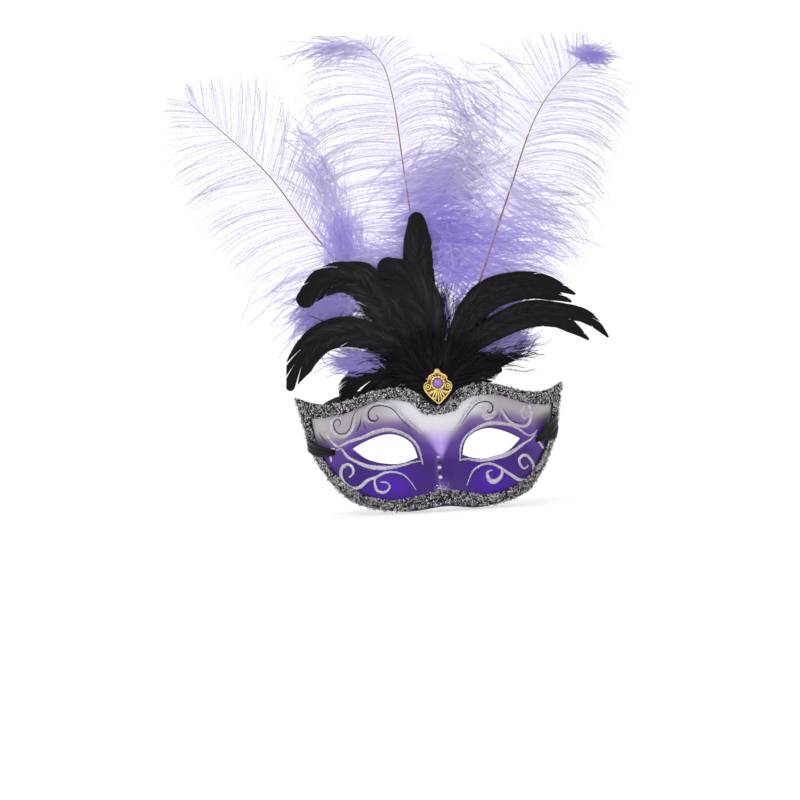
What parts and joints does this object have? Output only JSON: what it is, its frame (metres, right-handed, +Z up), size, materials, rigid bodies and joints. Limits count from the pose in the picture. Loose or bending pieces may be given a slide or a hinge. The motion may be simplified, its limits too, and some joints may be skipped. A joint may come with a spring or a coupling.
{
  "type": "venetian masquerade mask",
  "caption": "Half mask for the eyes with braid edging, a brooch, black coque feathers, lilac ostrich plumes and satin ribbons tied behind.",
  "frame": {"origin": "the inside of the nose bridge at eye level, on the centre line, where the mask rests on the wearer's nose", "axes": "+Z up, the front of the mask faces -Y so the wearer's head is on the +Y side, +X is on the viewer's right"},
  "size_m": [0.3316, 0.2212, 0.3271],
  "materials": {
    "mask_paint": "satin",
    "gimp_braid": "satin",
    "black_feather": "satin",
    "quill": "satin",
    "ostrich_plume": "matte",
    "purple_stone": "gloss",
    "dark_gold": "polished",
    "gold": "polished",
    "binding_tape": "matte",
    "felt": "matte",
    "satin_ribbon": "satin",
    "silver_glitter": "polished",
    "black_glitter": "gloss",
    "plume_fluff": "matte"
  },
  "bodies": {
    "root": {"bow_knot": "satin_ribbon", "bow_loop_left": "satin_ribbon", "bow_loop_right": "satin_ribbon", "bow_tail_left": "satin_ribbon", "bow_tail_right": "satin_ribbon", "braid_bottom": "gimp_braid", "braid_top": "gimp_braid", "brooch_beads": "gold", "brooch_bezel": "gold", "brooch_finial": "dark_gold", "brooch_gem": "purple_stone", "brooch_plate": "gold", "coque_centre_left_back": "black_feather", "coque_centre_left_front": "black_feather", "coque_centre_upright": "black_feather", "coque_left_high_inner": "black_feather", "coque_left_high_outer": "black_feather", "coque_left_low_inner": "black_feather", "coque_left_low_outer": "black_feather", "coque_left_side_lower": "black_feather", "coque_left_side_upper": "black_feather", "coque_right_high_inner": "black_feather", "coque_right_high_outer": "black_feather", "coque_right_low_inner": "black_feather", "coque_right_low_outer": "black_feather", "coque_right_side_lower": "black_feather", "coque_right_side_upper": "black_feather", "felt_patch": "felt", "mask_shell": "mask_paint", "quill_binding": "binding_tape", "ribbon_left": "satin_ribbon", "ribbon_right": "satin_ribbon", "ribbon_stop_left": "satin_ribbon", "ribbon_stop_right": "satin_ribbon"},
    "plume_left": {"plume_left_quill": "quill", "plume_left_vane": "ostrich_plume"},
    "plume_centre": {"plume_centre_quill": "quill", "plume_centre_vane": "ostrich_plume"},
    "plume_right": {"plume_right_quill": "quill", "plume_right_vane": "ostrich_plume"}
  },
  "joints": [
    {"name": "plume_left_sway", "type": "hinge", "parent": "root", "child": "plume_left", "pos_m": [0, 0.004, 0.038], "axis": [0, 1, 0], "range_deg": [-8, 8], "stiffness_Nm_per_rad": 0.1, "springref_deg": 2.76},
    {"name": "plume_centre_sway", "type": "hinge", "parent": "root", "child": "plume_centre", "pos_m": [0, 0.004, 0.038], "axis": [0, 1, 0], "range_deg": [-8, 8], "stiffness_Nm_per_rad": 0.1, "springref_deg": 0.27},
    {"name": "plume_right_sway", "type": "hinge", "parent": "root", "child": "plume_right", "pos_m": [0, 0.004, 0.038], "axis": [0, 1, 0], "range_deg": [-8, 8], "stiffness_Nm_per_rad": 0.1, "springref_deg": -2.82}
  ]
}
